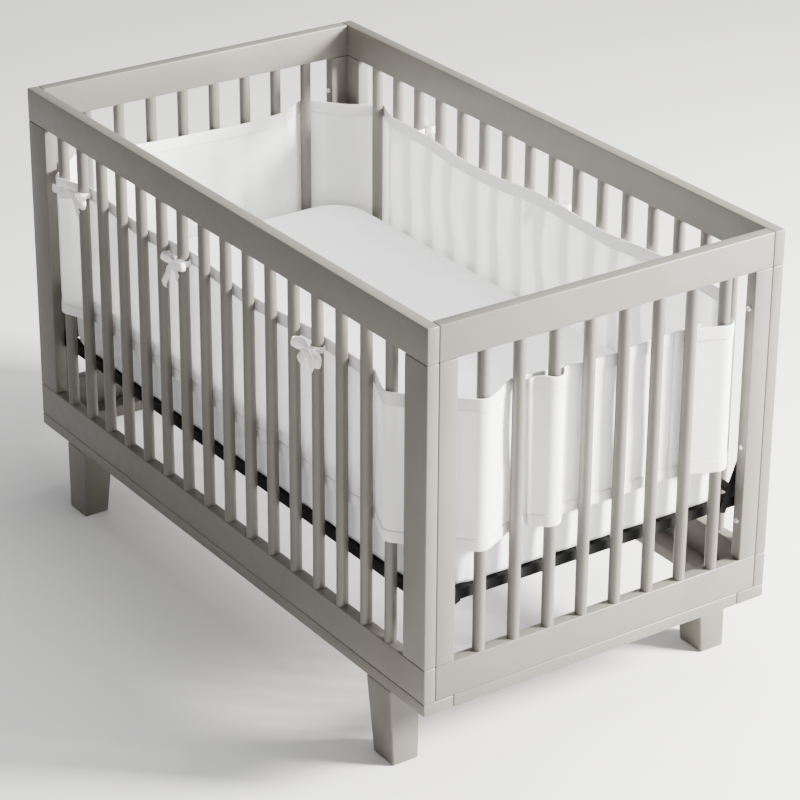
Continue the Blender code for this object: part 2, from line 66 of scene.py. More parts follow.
# ---------------------------------------------------------------- shader maths
class Signal:
    """One output of a shader's nodes. Arithmetic on it adds Math nodes."""

    def __init__(self, graph: "Graph", socket: bpy.types.NodeSocket) -> None:
        """Wraps a socket of a graph."""
        self.graph, self.socket = graph, socket

    def maths(self, operation: str, *terms: Union["Signal", float]) -> "Signal":
        """Adds a Math node.

        Args:
            operation: The node's operation.
            terms: Its inputs, in order.

        Returns:
            The node's result.
        """
        return self.graph.node("ShaderNodeMath", {"operation": operation}, dict(enumerate(terms)))

    def __add__(self, other: Union["Signal", float]) -> "Signal":
        """Sum."""
        return self.maths("ADD", self, other)

    def __radd__(self, other: float) -> "Signal":
        """Sum, with the number first."""
        return self.maths("ADD", other, self)

    def __sub__(self, other: Union["Signal", float]) -> "Signal":
        """Difference."""
        return self.maths("SUBTRACT", self, other)

    def __rsub__(self, other: float) -> "Signal":
        """Difference, with the number first."""
        return self.maths("SUBTRACT", other, self)

    def __mul__(self, other: Union["Signal", float]) -> "Signal":
        """Product."""
        return self.maths("MULTIPLY", self, other)

    def __rmul__(self, other: float) -> "Signal":
        """Product, with the number first."""
        return self.maths("MULTIPLY", other, self)

    def sine(self) -> "Signal":
        """Sine, with the value in radians."""
        return self.maths("SINE", self)

    def between(self, low: float, high: float) -> "Signal":
        """Eases from 0 to 1.

        Args:
            low: The value that gives 0.
            high: The value that gives 1, which may be the lower one.

        Returns:
            The eased value, held at 0 and 1 outside.
        """
        inputs = {0: self, 1: low, 2: high, 3: 0.0, 4: 1.0}
        return self.graph.node("ShaderNodeMapRange", {"interpolation_type": "SMOOTHSTEP"}, inputs)


class Graph:
    """The nodes of one material, round its Principled shader."""

    def __init__(self, name: str, **constants: Union[float, Colour]) -> None:
        """Starts a material.

        Args:
            name: The material's name.
            constants: Values of the shader's own sockets, with underscores for the spaces.
        """
        self.material = bpy.data.materials.new(name)
        self.material.use_nodes = True
        self.tree = self.material.node_tree
        self.shader = self.tree.nodes["Principled BSDF"]
        for key, value in constants.items():
            socket = self.shader.inputs[key.replace("_", " ").title().replace("Ior", "IOR")]
            socket.default_value = (*value, 1.0) if socket.type == "RGBA" else value

    def node(self, kind: str, settings: Optional[dict] = None, inputs: Optional[dict] = None,
             output: Union[int, str] = 0) -> Signal:
        """Adds any node.

        Args:
            kind: The node's type.
            settings: Its properties, set first.
            inputs: Values or signals for its sockets, by name or number.
            output: The output to hand back.

        Returns:
            That output.
        """
        made = self.tree.nodes.new(kind)
        for key, value in (settings or {}).items():
            setattr(made, key, value)
        for key, value in (inputs or {}).items():
            if isinstance(value, Signal):
                self.tree.links.new(value.socket, made.inputs[key])
            else:
                made.inputs[key].default_value = value
        return Signal(self, made.outputs[output])

    def feed(self, socket: str, signal: Signal) -> None:
        """Links a signal to one of the shader's sockets."""
        self.tree.links.new(signal.socket, self.shader.inputs[socket])

    def place(self, way: str = "Object") -> Signal:
        """The point being shaded, in object space or on the piece's own UV map."""
        return self.node("ShaderNodeTexCoord", output=way)

    def parts(self, vector: Signal) -> tuple[Signal, Signal, Signal]:
        """Splits a vector into its three numbers.

        Args:
            vector: The vector to split.

        Returns:
            Its X, Y and Z.
        """
        split = self.node("ShaderNodeSeparateXYZ", inputs={0: vector})
        outputs = split.socket.node.outputs
        return Signal(self, outputs[0]), Signal(self, outputs[1]), Signal(self, outputs[2])

    def noise(self, scale: float, detail: float = 2.0, way: str = "Object",
              stretch: Point = (1.0, 1.0, 1.0)) -> Signal:
        """Cloudy noise from 0 to 1.

        Args:
            scale: Clouds to the metre.
            detail: Octaves of finer clouds.
            way: The coordinates that it reads.
            stretch: Factors on those coordinates.

        Returns:
            The noise.
        """
        place = self.node("ShaderNodeMapping", inputs={"Vector": self.place(way), "Scale": stretch})
        inputs = {"Vector": place, "Scale": scale, "Detail": detail, "Roughness": 0.55}
        return self.node("ShaderNodeTexNoise", inputs=inputs)

    def tint(self, low: Colour, high: Colour, amount: Signal) -> Signal:
        """Mixes two colours by an amount from 0 to 1."""
        inputs = {0: amount, 6: (*low, 1.0), 7: (*high, 1.0)}
        return self.node("ShaderNodeMix", {"data_type": "RGBA"}, inputs, output=2)

    def emboss(self, height: Signal, depth: float, strength: float = 1.0) -> None:
        """Raises the surface.

        Args:
            height: The relief, from 0 to 1.
            depth: What 1 stands for, in metres.
            strength: How much of it shows.
        """
        inputs = {"Height": height, "Distance": depth, "Strength": strength}
        self.feed("Normal", self.node("ShaderNodeBump", inputs=inputs, output="Normal"))


# ---------------------------------------------------------------- finishes
@dataclass(frozen=True)
class SatinPaint:
    """Sprayed satin paint on close-grained wood."""

    colour: Colour = (0.124, 0.115, 0.099)
    shade: Colour = (0.111, 0.103, 0.088)
    peel: float = 650.0

    def material(self) -> bpy.types.Material:
        """Builds it: soft clouds in the colour, a fine orange peel and a little of the grain below."""
        graph = Graph("satin_paint", roughness=0.42, specular_ior_level=0.45)
        clouds = graph.noise(7.0, 3.0)
        graph.feed("Base Color", graph.tint(self.shade, self.colour, clouds.between(0.3, 0.62)))
        graph.feed("Roughness", 0.36 + graph.noise(45.0) * 0.14)
        graph.emboss(graph.noise(self.peel, 1.0) * 0.5 + graph.noise(60.0, 4.0) * 0.5, 0.00025, 0.5)
        return graph.material


@dataclass(frozen=True)
class PowderCoat:
    """Black powder coat on steel."""

    colour: Colour = (0.005, 0.005, 0.0055)
    bloom: Colour = (0.013, 0.013, 0.0135)

    def material(self) -> bpy.types.Material:
        """Builds it: a pebbled skin with a slightly greyer bloom."""
        graph = Graph("black_powder_coat", metallic=0.0, roughness=0.5, specular_ior_level=0.12)
        graph.feed("Base Color", graph.tint(self.colour, self.bloom, graph.noise(24.0).between(0.4, 0.8)))
        graph.feed("Roughness", 0.46 + graph.noise(300.0, 1.0) * 0.18)
        graph.emboss(graph.noise(1200.0, 1.0), 0.0002, 0.6)
        return graph.material


@dataclass(frozen=True)
class ZincPlate:
    """Bright zinc on the bolts."""

    colour: Colour = (0.78, 0.77, 0.74)

    def material(self) -> bpy.types.Material:
        """Builds it: metal with fine scratches in its gloss."""
        graph = Graph("zinc_plate", base_color=self.colour, metallic=1.0)
        graph.feed("Roughness", 0.22 + graph.noise(500.0, 3.0) * 0.25)
        return graph.material


@dataclass(frozen=True)
class Percale:
    """Plain-woven white cotton of the fitted sheet, on the piece's UV map in metres."""

    colour: Colour = (0.905, 0.908, 0.915)
    painted_fold_shade: Colour = (0.860, 0.864, 0.873)
    thread: float = 0.0007

    def material(self) -> bpy.types.Material:
        """Builds it: over-and-under threads, with faint slubs and creases, and painted fold shade in soft
        random clouds.
        """
        graph = Graph("white_percale", roughness=0.9, sheen_weight=0.25, sheen_roughness=0.5)
        along, across, _ = graph.parts(graph.place("UV"))
        turn = 2 * math.pi / self.thread
        weave = (along * turn).sine() * (across * turn).sine() * 0.5 + 0.5
        slubs = graph.noise(28.0, 4.0, "UV", (1.0, 6.0, 1.0))
        # painted fold shade: the sheet goes darker in soft random clouds, and the slubs lift it back towards
        # its plain colour
        mixed = graph.noise(5.0, 3.0, "UV").between(0.35, 0.65) * 0.6 + slubs * 0.4
        graph.feed("Base Color", graph.tint(self.painted_fold_shade, self.colour, mixed))
        graph.emboss(weave * 0.25 + graph.noise(16.0, 5.0, "UV") * 0.75, 0.0009, 0.55)
        return graph.material


@dataclass(frozen=True)
class SheerMesh:
    """Open spacer mesh: staggered holes between soft white yarns, on a UV map in metres."""

    yarn: Colour = (0.945, 0.945, 0.938)
    hole_shade: Colour = (0.905, 0.905, 0.898)
    pitch: float = 0.0013
    solid: float = 0.90
    open: float = 0.50

    def material(self) -> bpy.types.Material:
        """Builds it: the holes are clear in part, so what is behind shows as a soft shade, and their colour is
        darkened with painted shade.
        """
        graph = Graph("white_sheer_mesh", roughness=0.82, sheen_weight=0.3, sheen_roughness=0.45,
                      subsurface_weight=0.35, subsurface_radius=(1.0, 1.0, 1.0), subsurface_scale=0.004)
        along, up, _ = graph.parts(graph.place("UV"))
        turn = math.pi / self.pitch
        holes = ((along * turn).sine() * (up * turn).sine()).between(-0.15, 0.65)
        cloud = graph.noise(9.0, 3.0, "UV").between(0.3, 0.7)
        # painted shade in the holes: the colour goes darker there, and a little darker in soft random clouds
        graph.feed("Base Color", graph.tint(self.yarn, self.hole_shade, holes * 0.7 + cloud * 0.3))
        graph.feed("Alpha", self.solid - holes * (self.solid - self.open))
        graph.emboss(1.0 - holes, 0.0003, 0.3)
        return graph.material


@dataclass(frozen=True)
class BindingTape:
    """Folded tape with fine ribs and two rows of stitches, on a UV map in metres."""

    colour: Colour = (0.745, 0.743, 0.732)
    groove_shade_and_wear: Colour = (0.590, 0.588, 0.578)
    rib: float = 0.0011
    stitch: float = 0.0032
    rows: tuple[float, float] = (0.0020, 0.0032)

    def material(self) -> bpy.types.Material:
        """Builds it: ribs over the tape, and stitches near the edge where v is 0, with painted shade along the
        stitch rows.
        """
        graph = Graph("white_binding_tape", roughness=0.78, sheen_weight=0.2, sheen_roughness=0.5)
        along, up, _ = graph.parts(graph.place("UV"))
        ribs = (along * (2 * math.pi / self.rib)).sine() * 0.5 + 0.5
        dashes = (along * (2 * math.pi / self.stitch)).sine().between(-0.5, 0.1)
        middle, half = sum(self.rows) / 2, (self.rows[1] - self.rows[0]) / 2
        row = (up - middle).maths("ABSOLUTE", up - middle).between(half * 2.2, half)
        seam = dashes * row
        wear = graph.noise(30.0, 3.0, "UV").between(0.3, 0.7)
        # painted shade along the stitch rows, and a little darker in random patches of wear
        graph.feed("Base Color", graph.tint(self.colour, self.groove_shade_and_wear, row * 0.35 + wear * 0.12))
        graph.emboss(ribs * 0.35 + seam * 0.5 + (1.0 - row) * 0.15, 0.0006, 0.6)
        return graph.material


@dataclass(frozen=True)
class Grosgrain:
    """Soft ribbed ribbon, with its ribs across the ribbon's length."""

    colour: Colour = (0.900, 0.895, 0.882)
    rib_shade: Colour = (0.800, 0.792, 0.775)
    rib: float = 0.0014

    def material(self) -> bpy.types.Material:
        """Builds it: cross ribs and a woven edge."""
        graph = Graph("white_grosgrain", roughness=0.55, sheen_weight=0.35, sheen_roughness=0.35)
        along, across, _ = graph.parts(graph.place("UV"))
        ribs = (along * (2 * math.pi / self.rib)).sine() * 0.5 + 0.5
        edge = across.maths("ABSOLUTE", across).between(0.0052, 0.0066)
        graph.feed("Base Color", graph.tint(self.colour, self.rib_shade, ribs * 0.35 + edge * 0.3))
        graph.emboss(ribs * 0.7 + edge * 0.3, 0.0004, 0.6)
        return graph.material


class Finish(Enum):
    """The finishes of this crib and its bumper, each with a slot name."""

    PAINT = (SatinPaint(), "warm_grey_paint")
    STEEL = (PowderCoat(), "black_steel")
    BOLT = (ZincPlate(), "black_steel")
    SHEET = (Percale(), "white_fitted_sheet")
    MESH = (SheerMesh(), "white_mesh_cloth")
    BINDING = (BindingTape(), "white_binding")
    RIBBON = (Grosgrain(), "white_ribbon")


class Dresser:
    """Makes each finish once, and dresses pieces in it."""

    def __init__(self) -> None:
        """Starts with no material made."""
        self.made: dict[Finish, bpy.types.Material] = {}

    def material(self, finish: Finish) -> bpy.types.Material:
        """The finish's material, made at its first use."""
        if finish not in self.made:
            self.made[finish] = finish.value[0].material()
        return self.made[finish]

    def dress(self, piece: bpy.types.Object, finish: Finish, replaces: Sequence[str] = ()) -> None:
        """Gives a piece its finish and its place in the frame.

        Args:
            piece: The new piece.
            finish: Its finish.
            replaces: The nodes that it stands for.
        """
        piece.data.materials.clear()
        piece.data.materials.append(self.material(finish))
        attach(piece, BODY)
        if replaces:
            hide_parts(*replaces)
        log.info("%s: %s, %d faces", piece.name, finish.name.lower(), len(piece.data.polygons))

    def repaint(self, node: str, finish: Finish) -> None:
        """Gives a node of the frame that keeps its own shape a finish.

        Args:
            node: The node's name in the frame.
            finish: What it gets.
        """
        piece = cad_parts[node]
        piece.data.materials.clear()
        piece.data.materials.append(self.material(finish))
        log.info("%s keeps its shape: %s", node, finish.name.lower())


# ---------------------------------------------------------------- modelling by hand
class Bench:
    """Operators on one piece at a time, which is left active and alone selected in object mode."""

    @staticmethod
    def only(piece: bpy.types.Object) -> bpy.types.Object:
        """Selects one piece and no other.

        Args:
            piece: The piece to work on.

        Returns:
            The same piece, active and selected.
        """
        bpy.ops.object.select_all(action="DESELECT")
        piece.select_set(True)
        bpy.context.view_layer.objects.active = piece
        return piece

    @staticmethod
    def pick_faces(piece: bpy.types.Object, wanted: Callable[[bpy.types.MeshPolygon], bool]) -> None:
        """Selects faces, and leaves the piece in edit mode.

        Args:
            piece: The piece, in object mode.
            wanted: True for a face to select.
        """
        bpy.ops.object.mode_set(mode="EDIT")
        bpy.ops.mesh.select_mode(type="FACE")
        bpy.ops.mesh.select_all(action="DESELECT")
        bpy.ops.object.mode_set(mode="OBJECT")
        for face in piece.data.polygons:
            face.select = bool(wanted(face))
        bpy.ops.object.mode_set(mode="EDIT")

    @staticmethod
    def soften(piece: bpy.types.Object, radius: float, segments: int = 3) -> None:
        """Rounds all edges of a piece, and shades it.

        Args:
            piece: The piece.
            radius: The edges' radius.
            segments: Faces across each rounded edge.
        """
        Bench.only(piece)
        bpy.ops.object.mode_set(mode="EDIT")
        bpy.ops.mesh.select_all(action="SELECT")
        bpy.ops.mesh.bevel(offset=radius, segments=segments, affect="EDGES", clamp_overlap=True)
        bpy.ops.object.mode_set(mode="OBJECT")
        bpy.ops.object.shade_smooth_by_angle(angle=SMOOTH_ANGLE)

    @staticmethod
    def board(name: str, low: Sequence[float], high: Sequence[float], radius: float) -> bpy.types.Object:
        """A board between two corners, with eased edges.

        Args:
            name: Its name.
            low: Its lowest corner.
            high: Its highest corner.
            radius: The radius of its edges.

        Returns:
            The board.
        """
        low, high = Vector(low), Vector(high)
        bpy.ops.object.select_all(action="DESELECT")
        bpy.ops.mesh.primitive_cube_add(size=1.0, location=(low + high) / 2, scale=high - low)
        piece = bpy.context.object
        piece.name = piece.data.name = name
        bpy.ops.object.transform_apply(location=True, rotation=True, scale=True)
        Bench.soften(piece, radius)
        return piece

    @staticmethod
    def copy(piece: bpy.types.Object, name: str, move: Matrix) -> bpy.types.Object:
        """A copy with its own mesh, moved.

        Args:
            piece: The pattern.
            name: The copy's name.
            move: Where the copy goes from the pattern's place.

        Returns:
            The copy.
        """
        made = piece.copy()
        made.data = piece.data.copy()
        made.name = made.data.name = name
        made.data.transform(move)
        bpy.context.scene.collection.objects.link(made)
        return made

    @staticmethod
    def join(name: str, pieces: Sequence[bpy.types.Object]) -> bpy.types.Object:
        """Joins pieces into one object under a name.

        Args:
            name: The joined piece's name.
            pieces: What goes into it.

        Returns:
            The joined piece.
        """
        Bench.only(pieces[0])
        for piece in pieces:
            piece.select_set(True)
        bpy.ops.object.join()
        joined = bpy.context.object
        joined.name = joined.data.name = name
        return joined


# ---------------------------------------------------------------- the crib
@dataclass
class SlattedPanel:
    """One side or end of the crib: two rails, two stiles and a row of round slats."""

    node: str
    stile: float
    slats: int
    pitch: float
    rail_under: float = 0.810
    low_rail_top: float = 0.241
    slat_radius: float = 0.011
    edge: float = 0.0022
    tenon: float = 0.008

    def __post_init__(self) -> None:
        """Reads the panel's place from the frame."""
        self.low, self.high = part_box(self.node)
        self.along = 0 if self.high.x - self.low.x > self.high.y - self.low.y else 1

    def corners(self, start: float, end: float, under: float, top: float) -> tuple[Vector, Vector]:
        """Corners of a board in the panel, from its stretch along the panel and its two heights.

        Args:
            start: Where the board starts along the panel.
            end: Where it ends.
            under: Height of its underside.
            top: Height of its top.

        Returns:
            Its lowest and its highest corner.
        """
        low, high = self.low.copy(), self.high.copy()
        low[self.along], high[self.along] = start, end
        low.z, high.z = under, top
        return low, high

    def build_frame(self) -> bpy.types.Object:
        """Rails that run over the stiles' ends, each board with its own eased edges."""
        start, end = self.low[self.along], self.high[self.along]
        joint = 0.0003
        boards = (("top", start, end, self.rail_under, self.high.z),
                  ("bottom", start, end, self.low.z, self.low_rail_top),
                  ("near", start, start + self.stile, self.low_rail_top + joint, self.rail_under - joint),
                  ("far", end - self.stile, end, self.low_rail_top + joint, self.rail_under - joint))
        made = [Bench.board(f"{self.node}_{name}", *self.corners(*places), self.edge)
                for name, *places in boards]
        return Bench.join(f"{self.node}_frame", made)

    def build_slat(self) -> bpy.types.Object:
        """One round slat at the panel's middle, with a shoulder and a tenon at each end."""
        centre = (self.low + self.high) / 2
        height = self.rail_under - self.low_rail_top
        centre.z = (self.rail_under + self.low_rail_top) / 2
        bpy.ops.object.select_all(action="DESELECT")
        bpy.ops.mesh.primitive_cylinder_add(vertices=28, radius=self.slat_radius, depth=height,
                                            location=centre)
        slat = bpy.context.object
        bpy.ops.object.transform_apply(location=True, rotation=True, scale=True)
        for way in (-1, 1):
            Bench.pick_faces(slat, lambda face: face.normal.z * way > 0.9)
            bpy.ops.mesh.inset(thickness=0.002)
            bpy.ops.mesh.extrude_region_move(TRANSFORM_OT_translate={"value": (0, 0, way * self.tenon)})
            bpy.ops.object.mode_set(mode="OBJECT")
        bpy.ops.object.shade_smooth_by_angle(angle=SMOOTH_ANGLE)
        return slat

    def build_slats(self) -> bpy.types.Object:
        """The whole row of slats."""
        slat = self.build_slat()
        row = []
        for number in range(self.slats):
            step = Vector((0.0, 0.0, 0.0))
            step[self.along] = (number - (self.slats - 1) / 2) * self.pitch
            row.append(Bench.copy(slat, f"{self.node}_slat_{number + 1}", Matrix.Translation(step)))
        bpy.data.objects.remove(slat)
        return Bench.join(f"{self.node}_slats", row)

    def dress(self, dresser: Dresser) -> None:
        """Builds the panel and paints it."""
        dresser.dress(self.build_frame(), Finish.PAINT, [self.node])
        dresser.dress(self.build_slats(), Finish.PAINT)


@dataclass
class Base:
    """The boards under the bottom rails, and the legs."""

    edge: float = 0.0022
    leg_edge: float = 0.003
    foot_shift: tuple[float, float] = (0.012, 0.0015)
    foot_size: tuple[float, float] = (0.84, 0.83)

    def build_leg(self, end: str, side: str) -> bpy.types.Object:
        """A tapered leg, splayed outwards to its foot.

        Args:
            end: left or right.
            side: front or back.

        Returns:
            The leg.
        """
        node = f"leg_{side}_{end}"
        low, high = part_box(node)
        out_x, out_y = (-1 if end == "left" else 1), (-1 if side == "front" else 1)
        bpy.ops.object.select_all(action="DESELECT")
        low, high = low.copy(), high.copy()
        if out_x > 0:
            high.x -= self.foot_shift[0] / 2
        else:
            low.x += self.foot_shift[0] / 2
        bpy.ops.mesh.primitive_cube_add(size=1.0, location=(low + high) / 2, scale=high - low)
        leg = bpy.context.object
        leg.name = leg.data.name = f"{node}_tapered"
        bpy.ops.object.transform_apply(location=True, rotation=True, scale=True)
        Bench.pick_faces(leg, lambda face: face.normal.z < -0.9)
        foot = Vector(((low.x + high.x) / 2, (low.y + high.y) / 2, low.z))
        bpy.ops.transform.resize(value=(*self.foot_size, 1.0), center_override=foot)
        bpy.ops.transform.translate(value=(out_x * self.foot_shift[0], out_y * self.foot_shift[1], 0))
        bpy.ops.object.mode_set(mode="OBJECT")
        Bench.soften(leg, self.leg_edge)
        return leg

    def dress(self, dresser: Dresser) -> None:
        """Builds the boards and the legs, and paints them."""
        for place in ("front", "back", "left", "right"):
            node = f"base_{place}"
            board = Bench.board(f"{node}_board", *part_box(node), self.edge)
            dresser.dress(board, Finish.PAINT, [node])
        for end in ("left", "right"):
            for side in ("front", "back"):
                dresser.dress(self.build_leg(end, side), Finish.PAINT, [f"leg_{side}_{end}"])


@dataclass
class Fixings:
    """Cap-head bolts that hold the ends to the long sides, in the end stiles' inner edges."""

    heights: tuple[float, ...] = (0.737, 0.467, 0.319)
    stile: float = 0.038
    radius: float = 0.0048
    head: float = 0.0035

    def build_bolt(self) -> bpy.types.Object:
        """One bolt head at the origin, facing +Y, with a socket sunk in it."""
        bpy.ops.object.select_all(action="DESELECT")
        bpy.ops.mesh.primitive_cylinder_add(vertices=24, radius=self.radius, depth=self.head,
                                            rotation=(-math.pi / 2, 0, 0), location=(0, self.head / 2, 0))
        bolt = bpy.context.object
        bpy.ops.object.transform_apply(location=True, rotation=True, scale=True)
        Bench.pick_faces(bolt, lambda face: face.normal.y > 0.9)
        bpy.ops.mesh.bevel(offset=self.radius * 0.15, segments=2, affect="EDGES")
        bpy.ops.object.mode_set(mode="OBJECT")
        top = max(vertex.co.y for vertex in bolt.data.vertices)
        Bench.pick_faces(bolt, lambda face: face.normal.y > 0.9 and face.center.y > top - 1e-5)
        bpy.ops.mesh.inset(thickness=self.radius * 0.32)
        bpy.ops.mesh.extrude_region_move(TRANSFORM_OT_translate={"value": (0, -self.head * 0.6, 0)})
        bpy.ops.object.mode_set(mode="OBJECT")
        bpy.ops.object.shade_smooth_by_angle(angle=math.radians(35))
        return bolt

    def dress(self, dresser: Dresser) -> None:
        """Puts a row of bolts at each corner, all as one piece."""
        pattern = self.build_bolt()
        bolts = []
        for end in ("end_left", "end_right"):
            low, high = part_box(end)
            middle = (low.x + high.x) / 2
            for face, turn in ((low.y + self.stile, 0.0), (high.y - self.stile, math.pi)):
                for height in self.heights:
                    move = Matrix.Translation((middle, face, height)) @ Matrix.Rotation(turn, 4, "Z")
                    bolts.append(Bench.copy(pattern, f"bolt_{len(bolts) + 1}", move))
        bpy.data.objects.remove(pattern)
        dresser.dress(Bench.join("stile_bolts", bolts), Finish.BOLT)


@dataclass
class Support:
    """The steel frame under the mattress, which keeps the shape of its nodes."""

    def dress(self, dresser: Dresser) -> None:
        """Powder-coats every bar, strap and hanger."""
        for node in sorted(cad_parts):
            if node.startswith(("support_", "hanger_")):
                dresser.repaint(node, Finish.STEEL)


# ---------------------------------------------------------------- cloth as thin skins
def skin(name: str, rings: Sequence[Sequence[Point]], marks: Sequence[Sequence[tuple[float, float]]],
         closed: bool = False) -> bpy.types.Object:
    """Joins rings of equally many points into one smooth closed skin with its UV map.

    Args:
        name: The piece's name.
        rings: The rings, one for each place along the piece.
        marks: The UV of each point, in metres, in the same layout.
        closed: True joins the last ring to the first, False closes both ends with a face.

    Returns:
        The piece.
    """
    shape = bmesh.new()
    layer = shape.loops.layers.uv.new("UVMap")
    known = {}
    rows = []
    for ring, ring_marks in zip(rings, marks):
        row = [shape.verts.new(point) for point in ring]
        known.update(zip(row, ring_marks))
        rows.append(row)
    pairs = list(zip(rows, rows[1:])) + ([(rows[-1], rows[0])] if closed else [])
    for one, other in pairs:
        for i in range(len(one)):
            j = (i + 1) % len(one)
            shape.faces.new((one[i], one[j], other[j], other[i]))
    if not closed:
        shape.faces.new(rows[0][::-1])
        shape.faces.new(rows[-1])
    for face in shape.faces:
        face.smooth = True
        for loop in face.loops:
            loop[layer].uv = known[loop.vert]
    bmesh.ops.recalc_face_normals(shape, faces=shape.faces)
    mesh = bpy.data.meshes.new(name)
    shape.to_mesh(mesh)
    shape.free()
    piece = bpy.data.objects.new(name, mesh)
    bpy.context.scene.collection.objects.link(piece)
    return piece


def ease(value: float) -> float:
    """Eases a value from 0 to 1, and holds it outside."""
    value = min(max(value, 0.0), 1.0)
    return value * value * (3 - 2 * value)


def curve_through(marks: Sequence[tuple[float, float]], place: float) -> float:
    """Reads a height between marks, with eased steps.

    Args:
        marks: Rows of (place, value) in rising order of place.
        place: Where to read.

    Returns:
        The value there, held at both ends.
    """
    if place <= marks[0][0]:
        return marks[0][1]
    for (a, low), (b, high) in zip(marks, marks[1:]):
        if place <= b:
            return low + (high - low) * ease((place - a) / (b - a))
    return marks[-1][1]


# ---------------------------------------------------------------- the bumper's way round the slats
class Side(Enum):
    """A side of the crib: its way out, its slat line, and its slats' number and pitch."""

    FRONT = ((0, -1), 0.366, 16, 0.0752)
    BACK = ((0, 1), 0.366, 16, 0.0752)
    LEFT = ((-1, 0), 0.6705, 8, 0.0735)
    RIGHT = ((1, 0), 0.6705, 8, 0.0735)

    def slat(self, number: int) -> Vector:
        """Centre of a slat, counted from -X or from -Y.

        Args:
            number: The slat, from 1.

        Returns:
            Its centre in plan.
        """
        (out_x, out_y), line, count, pitch = self.value
        place = (number - 1 - (count - 1) / 2) * pitch
        return Vector((out_x * line + abs(out_y) * place, out_y * line + abs(out_x) * place))


@dataclass
class Wrap:
    """A round thing that the cloth turns about. out is 1 where the cloth passes outside it, -1 inside."""

    centre: Vector
    radius: float
    out: int

    def point(self, heading: float) -> Vector:
        """Where the cloth touches it while running at a heading."""
        left = Vector((-math.sin(heading), math.cos(heading)))
        return self.centre + left * self.radius * self.out


@dataclass
class Station:
    """A place along the cloth: where, its heading and slack, its distance from the cloth's start, and
    how far the mattress's corner pushes it out of its straight way."""

    place: Vector
    heading: float
    slack: float
    length: float = 0.0
    push: float = 0.0


